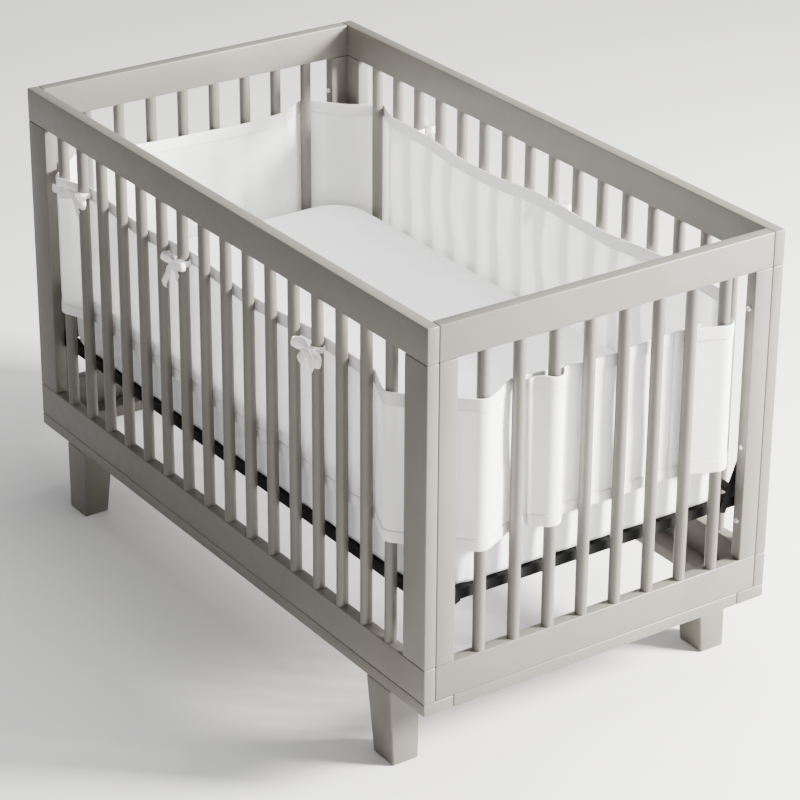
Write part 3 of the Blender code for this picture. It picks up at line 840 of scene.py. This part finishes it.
@dataclass
class Route:
    """The cloth's line, clockwise from above, about a list of wraps."""

    slat_pass: float = 0.0146
    outer_radius: float = 0.022
    layer_step: float = 0.0037
    run_step: float = 0.009
    arc_step: float = math.radians(8)
    mattress_gap: float = 0.0054

    def slat(self, side: Side, number: int, out: int, layer: int = 0) -> Wrap:
        """The cloth's turn about a slat.

        Args:
            side: The slat's side.
            number: The slat's number.
            out: 1 where the cloth passes outside, -1 inside.
            layer: Moves the cloth outwards by whole layers.

        Returns:
            The turn.
        """
        centre = side.slat(number)
        if out < 0:
            return self.inside(centre, layer)
        centre -= Vector(side.value[0]) * (self.outer_radius - self.slat_pass)
        return Wrap(centre, self.outer_radius + layer * self.layer_step, 1)

    def inside(self, centre: Vector, layer: int = 0) -> Wrap:
        """The cloth's turn inside a point of the slats' line, moved outwards by whole layers."""
        return Wrap(centre, self.slat_pass - layer * self.layer_step, -1)

    def mattress_corner(self) -> Wrap:
        """The turn about the mattress's rounded corner at +X +Y."""
        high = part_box("mattress")[1]
        centre = Vector((high.x - MATTRESS_CORNER, high.y - MATTRESS_CORNER))
        return Wrap(centre, MATTRESS_CORNER + self.mattress_gap, 1)

    @staticmethod
    def heading(one: Wrap, other: Wrap) -> float:
        """Heading of the straight run that leaves one turn and meets the next.

        Args:
            one: The turn that is left.
            other: The turn that is met.

        Returns:
            The heading, in radians from +X.
        """
        across = other.centre - one.centre
        lift = (one.out * one.radius - other.out * other.radius) / across.length
        return math.atan2(across.y, across.x) - math.asin(lift)

    def stations(self, wraps: Sequence[Wrap]) -> list[Station]:
        """Stations along the cloth. Slack is 0 where it bears on a slat's outside, and 1 inside.

        Args:
            wraps: The turns, in their order along the cloth.

        Returns:
            The stations, closer together on the turns.
        """
        headings = [self.heading(one, other) for one, other in zip(wraps, wraps[1:])]
        found = []
        for i, wrap in enumerate(wraps):
            came, leaves = headings[max(i - 1, 0)], headings[min(i, len(headings) - 1)]
            turn = (leaves - came + math.pi) % (2 * math.pi) - math.pi
            bends = turn * wrap.out < -math.radians(2)
            steps = math.ceil(abs(turn) / self.arc_step) if bends else 0
            slack = 0.0 if wrap.out > 0 else 1.0
            for step in range(steps + 1):
                heading = came + turn * (step / steps if steps else 1)
                found.append(Station(wrap.point(heading), heading, slack))
            if i + 1 == len(wraps):
                break
            start, end = wrap.point(leaves), wraps[i + 1].point(leaves)
            next_slack = 0.0 if wraps[i + 1].out > 0 else 1.0
            steps = math.ceil((end - start).length / self.run_step)
            for step in range(1, steps):
                part = step / steps
                eased = slack + (next_slack - slack) * (part if next_slack < slack else part ** 2)
                found.append(Station(start.lerp(end, part), leaves, eased))
        return found

    @staticmethod
    def trimmed(found: list[Station], first_y: float, last_y: float) -> list[Station]:
        """Cuts both ends of a run down the +X end, and measures it.

        Args:
            found: The stations.
            first_y: Where the run begins.
            last_y: Where it finishes.

        Returns:
            The stations between, with their lengths.
        """
        def cut(inside: Station, outside: Station, limit: float) -> Station:
            """The station on the line between two at the limit."""
            part = (limit - outside.place.y) / (inside.place.y - outside.place.y)
            return Station(outside.place.lerp(inside.place, part), inside.heading, inside.slack)

        start = next(i for i in range(len(found)) if found[i].place.y <= first_y)
        end = next(i for i in reversed(range(len(found))) if found[i].place.y >= last_y)
        kept = [cut(found[start], found[start - 1], first_y), *found[start:end + 1],
                cut(found[end], found[end + 1], last_y)]
        for one, other in zip(kept, kept[1:]):
            other.length = one.length + (other.place - one.place).length
        return kept

    def mark_push(self, run: Sequence[Station], before: Wrap, after: Wrap) -> None:
        """Notes how far stations stand out of the straight way between two turns.

        Args:
            run: The stations, which are changed.
            before: The turn before the push.
            after: The turn after it.
        """
        heading = self.heading(before, after)
        ahead = Vector((math.cos(heading), math.sin(heading)))
        left = Vector((-math.sin(heading), math.cos(heading)))
        start, end = before.point(heading), after.point(heading)
        for station in run:
            way = station.place - start
            if (end - start).length > way.dot(ahead) > 0 and abs(way.dot(left)) < 0.05:
                station.push = max(way.dot(left) - 0.001, 0.0)

    def long_run(self) -> list[Station]:
        """From behind the fourth slat of the +X end, right round, to the inside of the seventh slat."""
        front, back, left, right = Side.FRONT, Side.BACK, Side.LEFT, Side.RIGHT
        turns = ((right, 5, -1, -1), (right, 4, -1, -1), (right, 3, -1, -1), (right, 2, -1), (right, 1, 1),
                 (front, 16, 1), (front, 15, -1), (front, 2, -1), (front, 1, 1),
                 (left, 1, 1), (left, 2, -1), (left, 7, -1), (left, 8, 1),
                 (back, 1, 1), (back, 2, -1), (back, 16, -1))
        wraps = [self.slat(*turn) for turn in turns] + [self.mattress_corner()]
        wraps += [self.slat(right, 8, 1), self.slat(right, 7, -1), self.slat(right, 6, -1)]
        run = self.trimmed(self.stations(wraps), -0.030, 0.160)
        self.mark_push(run, wraps[-5], wraps[-3])
        return run

    def short_run(self) -> list[Station]:
        """Across the +X end, and round the third slat to where its end closes on the long length."""
        right, line = Side.RIGHT, Side.RIGHT.value[1]
        turns = ((8, -1, -1), (7, -1, -1), (6, -1, -1), (5, -1), (4, -1))
        wraps = [self.slat(right, *turn) for turn in turns]
        wraps += [self.inside(Vector((line, -0.070))), self.slat(right, 3, 1),
                  self.inside(Vector((line, -0.147)), 1), self.slat(right, 2, -1, 1)]
        return self.trimmed(self.stations(wraps), 0.222, -0.153)


# ---------------------------------------------------------------- the bumper's cloth
# How far the top edge stands above (+) or sags below (-) its usual level, at places round the crib.
TOP_EDGE = (
    # x, y, rise
    (0.68, -0.11, 0.002), (0.66, -0.184, 0.008), (0.68, -0.257, 0.001), (0.564, -0.38, 0.0),
    (0.338, -0.35, 0.004), (0.11, -0.35, -0.006), (-0.113, -0.35, 0.003), (-0.30, -0.35, -0.007),
    (-0.489, -0.35, 0.004), (-0.564, -0.38, 0.007), (-0.68, -0.257, 0.002), (-0.655, -0.04, -0.006),
    (-0.655, 0.11, -0.009), (-0.68, 0.257, 0.0), (-0.62, 0.33, -0.004), (-0.564, 0.38, 0.003),
    (-0.414, 0.35, 0.005), (-0.18, 0.35, -0.009), (0.038, 0.35, 0.004), (0.20, 0.35, -0.005),
    (0.414, 0.35, 0.007), (0.564, 0.35, 0.0), (0.622, 0.322, -0.014), (0.68, 0.257, 0.003),
    (0.656, 0.0, -0.003),
)


class Length(Enum):
    """The bumper's two lengths: phase of the unevenness, length that lies flat at the end, slant of
    the last edge and how far its top drops there."""

    LONG = ("long", 0.7, 0.070, 0.0, 0.0)
    SHORT = ("short", 2.1, 0.160, 0.006, 0.009)


@dataclass
class BumperLength:
    """One length of the bumper: its mesh panel and its two folded bindings."""

    kind: Length
    stations: list[Station]
    bottom: float = 0.440
    top: float = 0.722
    mesh_half: float = 0.0005
    fold_half: float = 0.0016
    fold_wall: float = 0.0008
    top_band: float = 0.025
    bottom_band: float = 0.022
    lean: float = 0.0018
    billow: float = 0.0070
    flat_start: float = 0.070
    flat_ease: float = 0.070
    mattress_level: float = 0.512
    belly_level: float = 0.620
    tuck_height: float = 0.170
    rows: int = 26

    def __post_init__(self) -> None:
        """Reads the top edge's marks nearest to this length."""
        self.name, self.phase, self.flat_end, self.slant, self.drop = self.kind.value
        self.total = self.stations[-1].length
        marks = []
        for x, y, rise in TOP_EDGE:
            gap, length = min(((s.place - Vector((x, y))).length, s.length) for s in self.stations)
            if gap < 0.05:
                marks.append((length, rise))
        self.marks = sorted(marks)

    def slack(self, station: Station) -> float:
        """Slack at a station: none at the two ends, which lie flat on the other length."""
        free = min(station.length - self.flat_start, self.total - station.length - self.flat_end)
        return station.slack * ease(free / self.flat_ease)

    def edges(self, station: Station) -> tuple[float, float]:
        """Heights of the bottom and the top edge at a station.

        Args:
            station: A place along the cloth.

        Returns:
            The two heights.
        """
        wave = 0.0015 * math.sin(station.length * 17 + self.phase)
        drop = self.drop * ease(1 - (self.total - station.length) / 0.035)
        return self.bottom + wave, self.top + curve_through(self.marks, station.length) - drop

    def inward(self, station: Station, z: float) -> float:
        """How far the cloth stands inside its taut line.

        Args:
            station: The place along the cloth.
            z: The height.

        Returns:
            The distance, with the belly above the mattress and the small uneven ridges.
        """
        s, slack = station.length, self.slack(station)
        uneven = 0.55 + 0.30 * math.sin(s * 19 + self.phase) + 0.15 * math.sin(s * 37 + 2 * self.phase)
        bottom, top = self.edges(station)
        level = self.mattress_level + 0.006 * math.sin(s * 11 + self.phase)
        profile = ((bottom, self.lean), (level, 0.0), (self.belly_level, self.billow),
                   (top - self.top_band, self.billow * 0.5), (top, self.billow * 0.35))
        belly = uneven * curve_through(profile, z)
        free = ease((z - level) / 0.05) * ease((top - z) / 0.05)
        ridges = 0.0005 * math.sin(s * 86 + 3 * math.sin(s * 23)) * (0.5 + 0.5 * math.sin(s * 9 + self.phase))
        drag = 0.0008 * math.sin(s * 47 + (z - self.bottom) * 22 + self.phase)
        tucked = station.push * ease((z - level) / self.tuck_height)
        return slack * (belly + free * (ridges + drag)) + tucked

    def point(self, station: Station, out: float, z: float) -> Point:
        """A point of the cloth, from its distance out of the mid line and its height.

        Args:
            station: A place along the cloth.
            out: Distance out of the mid line.
            z: The height.

        Returns:
            The point.
        """
        heading = station.heading
        left = Vector((-math.sin(heading), math.cos(heading)))
        at = station.place + left * (out - self.inward(station, z))
        near_end = ease(1 - (self.total - station.length) / 0.05)
        if self.slant and near_end:
            shift = self.slant * (0.5 - (z - self.bottom) / (self.top - self.bottom)) * near_end
            at -= Vector((math.cos(heading), math.sin(heading))) * shift
        return at.x, at.y, z

    def swept(self, name: str, outline: Callable[[Station], list[tuple[float, float, float]]]
              ) -> bpy.types.Object:
        """Runs an outline along the cloth.

        Args:
            name: The piece's name.
            outline: Gives, at a station, rows of (outwards, height, distance over the cloth).

        Returns:
            The piece.
        """
        rings, marks = [], []
        for station in self.stations:
            rows = outline(station)
            rings.append([self.point(station, out, z) for out, z, _ in rows])
            marks.append([(station.length, over) for _, _, over in rows])
        return skin(name, rings, marks)

    def mesh_outline(self, station: Station) -> list[tuple[float, float, float]]:
        """The panel's two walls, with a hem that is twice as thick at the short length's last edge.

        Args:
            station: A place along the cloth.

        Returns:
            Rows of (distance out, height, place on the flat cloth).
        """
        bottom, top = self.edges(station)
        inset = self.fold_wall + 0.0003
        low, high = bottom + inset, top - inset
        levels = [low + (high - low) * i / (self.rows - 1) for i in range(self.rows)]
        hem = 1 + 1.4 * ease((0.019 - (self.total - station.length)) / 0.0015) if self.slant else 1.0
        walls = [(-self.mesh_half, z, z) for z in levels]
        return walls + [(self.mesh_half * hem, z, z) for z in reversed(levels)]

    def fold_outline(self, edge: float, opening: float) -> list[tuple[float, float, float]]:
        """A strip folded round an edge of the panel, with a soft crease.

        Args:
            edge: Height of the strip's outer edge.
            opening: Height of its two free edges.

        Returns:
            Rows of (outwards, height, distance from the free edge).
        """
        way = 1.0 if edge > opening else -1.0
        width, half, inner = abs(edge - opening), self.fold_half, self.fold_half - self.fold_wall
        rise = [(part, opening + way * (width - half) * part) for part in (0.0, 0.08, 0.4, 0.7, 1.0)]
        pinch = {0.08: 0.00025}
        outer = [(-half + pinch.get(part, 0.0), z) for part, z in rise]
        centre = edge - way * half
        bend = [(half * math.sin(math.radians(turn)), centre + way * half * math.cos(math.radians(turn)))
                for turn in (-60, -30, 0, 30, 60)]
        back = [(-x, z) for x, z in reversed(outer)]
        crease = edge - way * self.fold_wall
        lining = [(inner, opening), (inner, crease), (-inner, crease), (-inner, opening)]
        return [(x, z, abs(z - opening)) for x, z in outer + bend + back + lining]

    def build(self) -> dict[str, bpy.types.Object]:
        """The panel and its bindings, by the part of their name."""
        def top(station: Station) -> list[tuple[float, float, float]]:
            """The top binding's outline."""
            edge = self.edges(station)[1]
            return self.fold_outline(edge, edge - self.top_band)

        def bottom(station: Station) -> list[tuple[float, float, float]]:
            """The bottom binding's outline."""
            edge = self.edges(station)[0]
            return self.fold_outline(edge, edge + self.bottom_band)

        outlines = {"mesh": self.mesh_outline, "top_binding": top, "bottom_binding": bottom}
        return {part: self.swept(f"{part}_{self.name}", outline) for part, outline in outlines.items()}

    def dress(self, dresser: Dresser) -> None:
        made = self.build()
        node = f"bumper_{self.name}"
        folded = 2 * self.top_band + 2 * self.fold_half, 2 * self.bottom_band + 2 * self.fold_half
        panel = made["mesh"]
        dresser.dress(panel, Finish.MESH, [f"{node}_mesh"])
        self.top - self.bottom
        for part, width in zip(("top_binding", "bottom_binding"), folded):
            dresser.dress(made[part], Finish.BINDING, [f"{node}_{part}"])


# ---------------------------------------------------------------- the bows
@dataclass
class Strand:
    """A loop or a free end of a bow: its length, its tilt from level and its lift from the slats."""

    length: float
    tilt: float
    lift: float

    def directions(self, side: int) -> tuple[Vector, Vector]:
        """The ways along it and across it, for the left side (-1) or the right side (1)."""
        tilt = math.radians(self.tilt)
        return (Vector((side * math.cos(tilt), 0, math.sin(tilt))),
                Vector((-side * math.sin(tilt), 0, math.cos(tilt))))


# Each bow's side, slat and height, then its loops and free ends, left towards -X and right towards +X.
BOWS = (
    # side, slat, z, left loop, right loop, left end, right end: (length, tilt, lift)
    (Side.FRONT, 2, 0.715, (0.040, -6, 0.008), (0.042, -4, 0.003), (0.062, 8, 0.012), (0.034, -40, 0.004)),
    (Side.FRONT, 7, 0.707, (0.030, 34, 0.008), (0.040, 16, 0.003), (0.044, -74, 0.012), (0.026, -30, 0.002)),
    (Side.FRONT, 13, 0.708, (0.036, 18, 0.008), (0.042, -12, 0.003), (0.024, -56, 0.006), (0.034, -34, 0.004)),
    (Side.BACK, 3, 0.718, (0.027, 46, 0.004), (0.026, 22, 0.004), (0.032, -20, 0.006), (0.034, -54, 0.006)),
    (Side.BACK, 9, 0.704, (0.026, 20, 0.004), (0.024, 6, 0.004), (0.036, -34, 0.006), (0.034, -52, 0.006)),
    (Side.BACK, 14, 0.706, (0.024, 34, 0.004), (0.026, 8, 0.004), (0.034, -48, 0.006), (0.030, -36, 0.006)),
)


@dataclass
class Bow:
    """One ribbon tied round a slat: its turn, its knot, two loops and two free ends."""

    number: int
    side: Side
    slat: int
    height: float
    loops: tuple[Strand, Strand]
    ends: tuple[Strand, Strand]
    ribbon: float = 0.016
    thick: float = 0.0009
    ring_radius: float = 0.0117
    ring_height: float = 0.011
    belly: float = 0.0095
    knot: tuple[float, float, float] = (0.0050, 0.0032, 0.0068)
    knot_ribbon: float = 0.045
    stand_off: float = 0.0048
    front_shift: float = 0.006

    def strip(self, name: str, spine: Spine, closed: bool) -> bpy.types.Object:
        """Runs a ribbon's section along a line.

        Args:
            name: The piece's name.
            spine: Rows of (point, way across, way off the face, width).
            closed: True where the line comes back to its start.

        Returns:
            The ribbon.
        """
        places = (-0.5, -0.25, 0.0, 0.25, 0.5)
        rings, marks, run = [], [], 0.0
        for i, (point, across, face, width) in enumerate(spine):
            run += (point - spine[i - 1][0]).length if i else 0.0
            cup = [0.0012 * (1 - 4 * place * place) for place in places]
            under = [point + across * width * p + face * (c - self.thick / 2) for p, c in zip(places, cup)]
            over = [point + across * width * p + face * (c + self.thick / 2) for p, c in zip(places, cup)]
            rings.append([tuple(p) for p in under + over[::-1]])
            row = [(run, self.ribbon * place) for place in places]
            marks.append(row + row[::-1])
        return skin(name, rings, marks, closed)

    def loop_spine(self, strand: Strand, side: int, base: Vector) -> Spine:
        """The line of a loop, from the knot round and back.

        Args:
            strand: The loop's size and lie.
            side: -1 for the left loop, 1 for the right.
            base: Centre of the knot.

        Returns:
            The line.
        """
        along, across = strand.directions(side)
        out, steps, rows = Vector((0, 1, 0)), 28, []
        for step in range(steps):
            angle = 2 * math.pi * step / steps
            reach = (1 - math.cos(angle)) / 2
            belly = self.belly * math.sin(angle) * (0.35 + 0.65 * reach)
            normal = (along * -math.cos(angle) + out * math.sin(angle)).normalized()
            droop = Vector((0, 0, -0.005 * reach * reach))
            point = base + along * strand.length * reach + out * (belly + strand.lift * reach) + droop
            width = self.ribbon * (0.62 + 0.38 * ease(reach * 2.2))
            rows.append((point, across, normal, width))
        return rows

    def end_spine(self, strand: Strand, side: int, base: Vector) -> Spine:
        """The line of a free end, lifting off and curling a little at its cut.

        Args:
            strand: The end's size and lie.
            side: -1 for the left end, 1 for the right.
            base: Centre of the knot.

        Returns:
            The line.
        """
        along, across = strand.directions(side)
        out, steps, rows = Vector((0, 1, 0)), 14, []
        for step in range(steps + 1):
            part = step / steps
            lift = 0.002 + strand.lift * math.sin(part * 2.0) + 0.002 * math.sin(part * 9)
            sag = Vector((0, 0, -0.010 * part * part * abs(math.cos(math.radians(strand.tilt)))))
            point = base + along * strand.length * part + out * lift + sag
            face = (out - along * 0.5 * math.cos(part * 2.0)).normalized()
            width = self.ribbon * (0.62 + 0.38 * ease(part * 3.6))
            rows.append((point, across, face, width))
        return rows

    def ring_spine(self) -> Spine:
        """The ribbon's turn round the slat."""
        rows, steps = [], 32
        for step in range(steps):
            angle = 2 * math.pi * step / steps
            face = Vector((math.cos(angle), math.sin(angle), 0))
            tilt = Vector((0, 0, 0.0015 * math.sin(angle)))
            rows.append((face * (self.ring_radius + self.thick / 2) + tilt, Vector((0, 0, 1)), face,
                         self.ring_height))
        return rows

    def build_knot(self, base: Vector) -> bpy.types.Object:
        """The knot: a short band wound over the crossing, pulled in at its sides.

        Args:
            base: Centre of the knot.

        Returns:
            The knot.
        """
        rings, marks = [], []
        steps, around = 14, 22
        for step in range(steps + 1):
            angle = math.pi * (0.01 + 0.98 * step / steps)
            ring, row = [], []
            for turn in range(around):
                way = 2 * math.pi * turn / around
                crease = 1 - 0.12 * math.sin(way * 2.5 + 1.0 + angle) ** 4
                size = [axis * crease for axis in self.knot]
                point = base + Vector((size[0] * math.cos(angle), size[1] * math.sin(angle) * math.cos(way),
                                       size[2] * math.sin(angle) * math.sin(way)))
                ring.append(tuple(point))
                row.append((way * self.knot[2], (step / steps - 0.5) * 0.010))
            rings.append(ring)
            marks.append(row)
        return skin("knot", rings, marks)

    def build(self) -> bpy.types.Object:
        """The whole bow as one piece, at its slat."""
        front = self.side is Side.FRONT
        base = Vector((-self.front_shift if front else 0.0, self.ring_radius + self.stand_off, 0))
        pieces = [self.build_knot(base), self.strip("turn", self.ring_spine(), True)]
        for side, loop, end in zip((-1, 1), self.loops, self.ends):
            pieces.append(self.strip("loop", self.loop_spine(loop, side, base), True))
            pieces.append(self.strip("end", self.end_spine(end, side, base), False))
        centre = self.side.slat(self.slat)
        where = Matrix.Translation((centre.x, centre.y, self.height))
        if front:
            where = where @ Matrix.Diagonal((1.0, -1.0, 1.0, 1.0))
        for piece in pieces:
            piece.data.transform(where)
            if front:
                piece.data.flip_normals()
        return Bench.join(f"ribbon_bow_{self.number}", pieces)

    def dress(self, dresser: Dresser) -> None:
        bow = self.build()
        dresser.dress(bow, Finish.RIBBON, [f"bow_{self.number}"])
        turn, knot = 2 * math.pi * self.ring_radius, self.knot_ribbon
        length = sum(2.1 * loop.length for loop in self.loops) + sum(end.length for end in self.ends)
        length + turn + knot


# ---------------------------------------------------------------- the mattress
@dataclass
class FittedSheet:
    """The mattress in its fitted sheet: a low crown, soft edges, and gathers towards the hem."""

    corner: float = MATTRESS_CORNER
    crown: float = 0.003
    spacing: float = 0.016
    arc: int = 26

    def outline(self, inset: float) -> list[tuple[float, float, float, float]]:
        """A rounded rectangle drawn in from the mattress's sides.

        Args:
            inset: How far it is drawn in.

        Returns:
            Rows of (x, y, distance round, nearness to a corner). All insets give equally many.
        """
        low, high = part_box("mattress")
        half_x, half_y = (high.x - low.x) / 2, (high.y - low.y) / 2
        radius = max(self.corner - inset, 0.004)
        centres = half_x - inset - radius, half_y - inset - radius
        steps_x = round(2 * (half_x - self.corner) / self.spacing)
        steps_y = round(2 * (half_y - self.corner) / self.spacing)
        rows, arc = [], self.arc
        for quarter, (side_x, side_y) in enumerate(((1, 1), (-1, 1), (-1, -1), (1, -1))):
            centre = side_x * centres[0], side_y * centres[1]
            for step in range(arc + 1):
                angle = math.pi / 2 * (quarter + step / arc)
                rows.append((centre[0] + radius * math.cos(angle), centre[1] + radius * math.sin(angle),
                             math.sin(math.pi * step / arc)))
            x, y, _ = rows[-1]
            steps = steps_x if quarter in (0, 2) else steps_y
            length = 2 * (centres[0] if quarter in (0, 2) else centres[1])
            way = ((-1, 0), (0, -1), (1, 0), (0, 1))[quarter]
            rows += [(x + way[0] * length * step / steps, y + way[1] * length * step / steps, 0.0)
                     for step in range(1, steps)]
        total, found = 0.0, []
        for i, (x, y, near) in enumerate(rows):
            total += math.hypot(x - rows[i - 1][0], y - rows[i - 1][1]) if i else 0.0
            found.append((x, y, total, near))
        return found

    def profile(self) -> list[tuple[float, float, float]]:
        """Rows of (height, inset, gather) from under the hem, up the side and over to the middle."""
        low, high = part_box("mattress")
        rows = [(low.z + 0.004, 0.030, 0.3), (low.z + 0.001, 0.012, 0.6), (low.z + 0.002, 0.004, 1.0)]
        rows += [(low.z + 0.012, 0.0012, 1.0)]
        side_top, rim = high.z - 0.030, 0.030
        rows += [(low.z + 0.012 + (side_top - low.z - 0.012) * part, 0.0015 * (1 - 2 * part * (1 - part)),
                  1 - part) for part in (0.15, 0.3, 0.45, 0.6, 0.75, 0.88, 1.0)]
        for step in range(1, 8):
            angle = math.pi / 2 * step / 7
            inset = 0.0015 + rim * 0.9 * (1 - math.cos(angle))
            rows.append((side_top + (rim - 0.001) * math.sin(angle), inset, 0.0))
        top = rows[-1][0]
        deepest = (high.y - low.y) / 2 - 0.012
        for step in range(1, 13):
            part = step / 12
            inset = 0.0285 + (deepest - 0.0285) * part
            rows.append((top + self.crown * ease(part * 1.3), inset, 0.0))
        return rows

    def build(self) -> bpy.types.Object:
        """The sheet as one closed skin over the mattress."""
        rings, marks, over = [], [], 0.0
        rows = self.profile()
        for i, (z, inset, gather) in enumerate(rows):
            over += math.hypot(z - rows[i - 1][0], inset - rows[i - 1][1]) if i else 0.0
            ring, row = [], []
            outline = self.outline(inset)
            middle_x = sum(x for x, _, _, _ in outline) / len(outline)
            side_y = abs(outline[self.arc + 1][1])
            for x, y, s, near in outline:
                fine = math.sin(s * 205 + 2.5 * math.sin(s * 31))
                wave = (0.45 * fine + 0.35 * math.sin(s * 90 + 2 * math.sin(s * 13))
                        + 0.20 * math.sin(s * 41 + 1.3))
                pull = gather * gather * (0.0006 + 0.0044 * near) * (wave - 1.0)
                sag = 0.004 * gather * gather * max(0.0, math.sin(s * 23 + 0.6)) * (0.2 + near)
                flat = 0.0010 * math.sin(x * 7 + y * 5) * math.sin(y * 9 - x * 3) if inset > 0.05 else 0.0
                out = Vector((x - middle_x, y)).normalized() if near else Vector((0, 0))
                if not near:
                    on_long_side = abs(abs(y) - side_y) < 1e-6
                    out = Vector((0, math.copysign(1, y)) if on_long_side else (math.copysign(1, x), 0))
                ring.append((x + out.x * pull, y + out.y * pull, z + sag + flat))
                row.append((s, over))
            rings.append(ring)
            marks.append(row)
        return skin("fitted_sheet", rings, marks)

    def dress(self, dresser: Dresser) -> None:
        piece = self.build()
        dresser.dress(piece, Finish.SHEET, ["mattress"])


# ---------------------------------------------------------------- the studio
@dataclass
class Studio:
    """A pale floor, soft lights and the camera."""

    eye: Point = (4.172, -2.832, 2.815)
    bearing: float = 55.478
    tilt: float = 24.458
    roll: float = 0.345
    lens: float = 132.0
    shift_y: float = -0.0875
    key: Light = ((3.2, 3.4, 2.5), 1.3, 2350.0, (1.0, 0.985, 0.95))
    ceiling: Light = ((0.2, 0.6, 4.0), 2.4, 190.0, (1.0, 0.995, 0.985))
    air: tuple[Colour, float] = ((0.97, 0.975, 1.0), 0.56)
    floor: tuple[Colour, Colour] = ((0.66, 0.655, 0.645), (0.70, 0.695, 0.685))

    def build_floor(self) -> None:
        """A plain pale floor, wide enough to fill the view."""
        bpy.ops.object.select_all(action="DESELECT")
        bpy.ops.mesh.primitive_plane_add(size=60.0, location=(0, 0, 0))
        floor = bpy.context.object
        floor.name = "floor"
        graph = Graph("pale_floor", roughness=0.85, specular_ior_level=0.2)
        graph.feed("Base Color", graph.tint(*self.floor, graph.noise(1.5, 3.0)))
        floor.data.materials.append(graph.material)

    def build_light(self, name: str, place: Point, size: float, power: float, colour: Colour) -> None:
        """A soft square light that looks at the crib.

        Args:
            name: Its name.
            place: Where it stands.
            size: The length of its side.
            power: Its power in watts.
            colour: Its colour.
        """
        data = bpy.data.lights.new(name, "AREA")
        data.shape, data.size, data.energy, data.color = "SQUARE", size, power, colour
        light = bpy.data.objects.new(name, data)
        light.location = place
        light.rotation_euler = (Vector((0, 0, 0.5)) - Vector(place)).to_track_quat("-Z", "Y").to_euler()
        bpy.context.scene.collection.objects.link(light)

    def build_world(self, colour: Colour, strength: float) -> None:
        """Even light from all round.

        Args:
            colour: The light's colour.
            strength: The background's strength.
        """
        world = bpy.data.worlds.new("soft_room")
        world.use_nodes = True
        world.node_tree.nodes["Background"].inputs["Color"].default_value = (*colour, 1.0)
        world.node_tree.nodes["Background"].inputs["Strength"].default_value = strength
        bpy.context.scene.world = world

    def build_camera(self) -> None:
        """The camera, above the +X -Y corner."""
        bearing, tilt, roll = (math.radians(a) for a in (self.bearing, self.tilt, self.roll))
        look = Vector((-math.cos(tilt) * math.sin(bearing), math.cos(tilt) * math.cos(bearing),
                       -math.sin(tilt)))
        level = Vector((math.cos(bearing), math.sin(bearing), 0.0))
        up = level.cross(look)
        right = level * math.cos(roll) + up * math.sin(roll)
        up = up * math.cos(roll) - level * math.sin(roll)
        data = bpy.data.cameras.new("camera")
        data.lens, data.sensor_width, data.shift_y, data.clip_end = self.lens, 36.0, self.shift_y, 100.0
        camera = bpy.data.objects.new("camera", data)
        turn = Matrix((right, up, -look)).transposed().to_4x4()
        camera.matrix_world = Matrix.Translation(self.eye) @ turn
        bpy.context.scene.collection.objects.link(camera)
        bpy.context.scene.camera = camera

    def build(self) -> None:
        """Sets the studio up."""
        self.build_floor()
        self.build_light("window_key", *self.key)
        self.build_light("ceiling", *self.ceiling)
        self.build_world(*self.air)
        self.build_camera()


def main() -> None:
    """Builds the crib, the mattress, the bumper and its bows, and the studio round them."""
    logging.basicConfig(level=logging.INFO, format="%(message)s")
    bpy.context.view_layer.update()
    Studio().build()
    dresser = Dresser()
    for node in ("side_front", "side_back"):
        SlattedPanel(node, stile=0.0655, slats=16, pitch=0.0752).dress(dresser)
    for node in ("end_left", "end_right"):
        SlattedPanel(node, stile=0.038, slats=8, pitch=0.0735).dress(dresser)
    Base().dress(dresser)
    Fixings().dress(dresser)
    Support().dress(dresser)
    FittedSheet().dress(dresser)
    route = Route()
    BumperLength(Length.LONG, route.long_run()).dress(dresser)
    BumperLength(Length.SHORT, route.short_run()).dress(dresser)
    for number, (side, slat, height, *strands) in enumerate(BOWS, 1):
        left_loop, right_loop, left_end, right_end = (Strand(*sizes) for sizes in strands)
        Bow(number, side, slat, height, (left_loop, right_loop), (left_end, right_end)).dress(dresser)


if __name__ == "__main__":
    main()
